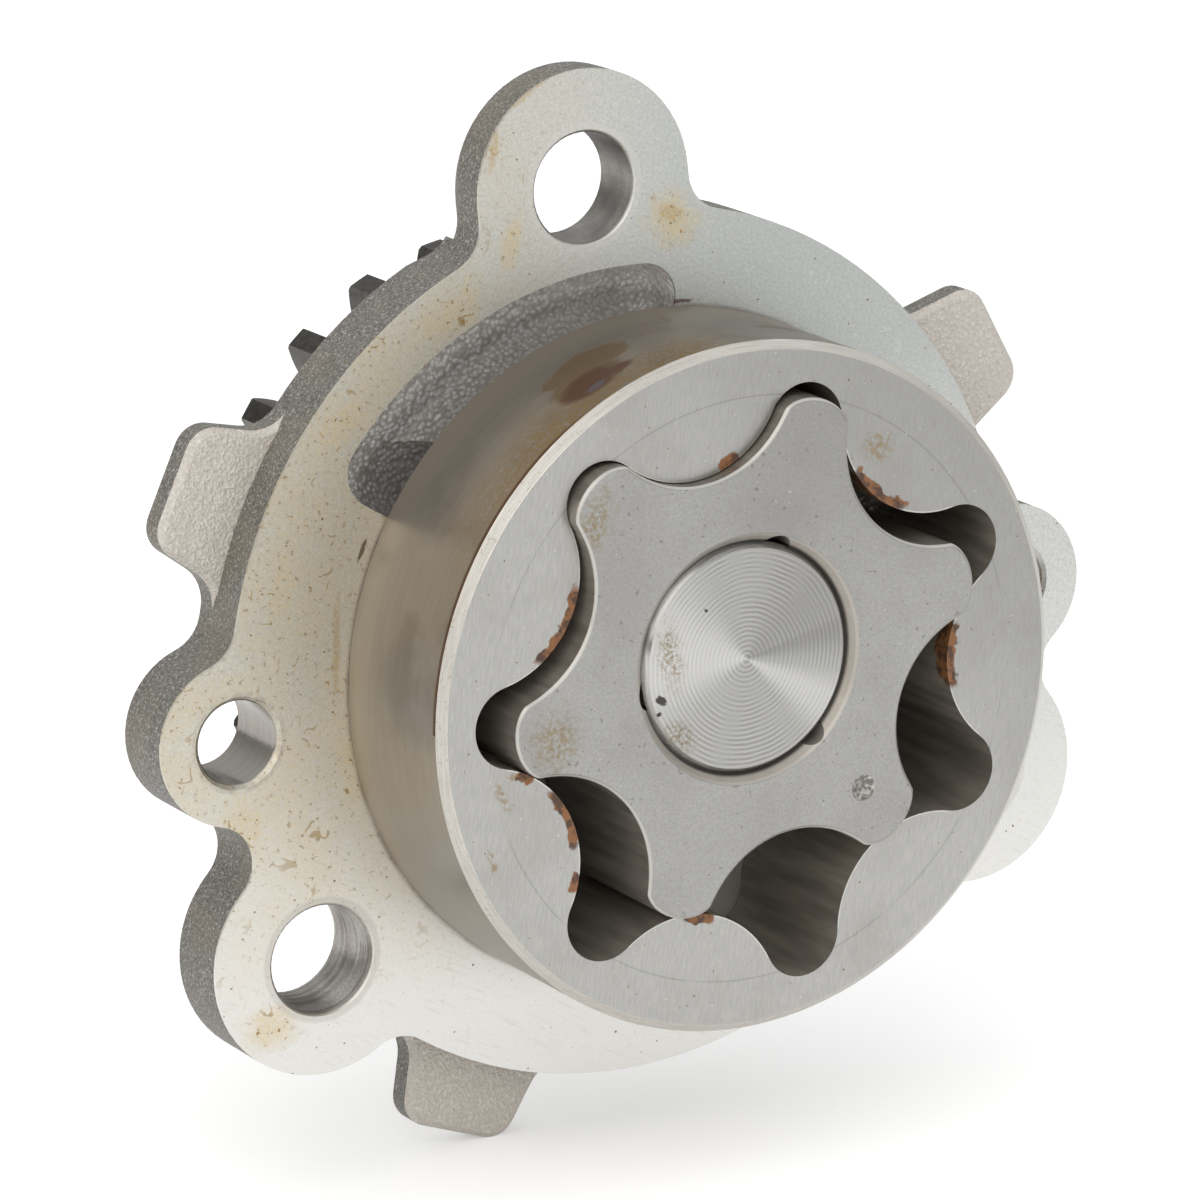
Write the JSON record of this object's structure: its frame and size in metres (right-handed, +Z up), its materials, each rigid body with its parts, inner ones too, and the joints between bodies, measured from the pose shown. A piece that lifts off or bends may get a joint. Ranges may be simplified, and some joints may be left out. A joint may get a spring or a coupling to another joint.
{
  "type": "engine oil pump",
  "caption": "Internal-gear engine oil pump: lobed inner rotor on a gear-driven shaft, turning in an outer rotor ring on a cast mounting flange with bolt ears and an inlet pocket.",
  "frame": {"origin": "centre of the outer rotor, on the flange's machined mounting face", "axes": "-Y out of the mounting face along both rotor axes, toward the engine; +Z up toward the single bolt ear at the top; +X to the right of someone who looks at the rotors"},
  "size_m": [0.1004, 0.0637, 0.1042],
  "materials": {
    "cast_flange": "cast skin, machined face and bores",
    "bush_bronze": "bored bronze",
    "washer_steel": "flat ground",
    "shaft_steel": "turned",
    "inner_rotor_steel": "ground faces, satin profile",
    "outer_rotor_steel": "ground faces and outside",
    "gear_steel": "dark hobbed and hardened",
    "nut_steel": "dull plated"
  },
  "bodies": {
    "housing": {"pump_flange": "cast_flange", "shaft_bush": "bush_bronze", "thrust_washer": "washer_steel"},
    "rotating_group": {"drive_shaft": "shaft_steel", "inner_rotor": "inner_rotor_steel", "drive_gear": "gear_steel", "gear_key": "shaft_steel", "gear_washer": "washer_steel", "gear_nut": "nut_steel"},
    "outer_ring": {"outer_rotor": "outer_rotor_steel"}
  },
  "joints": [
    {"name": "shaft_spin", "type": "hinge", "parent": "housing", "child": "rotating_group", "pos_m": [-0.00121, 0, 0.00345], "axis": [0, -1, 0], "continuous": true},
    {"name": "outer_rotor_spin", "type": "hinge", "parent": "housing", "child": "outer_ring", "pos_m": [0, 0, 0], "axis": [0, -1, 0], "continuous": true}
  ],
  "couplings": [
    {"joint": "outer_rotor_spin", "follows": "shaft_spin", "ratio": 0.85714}
  ]
}
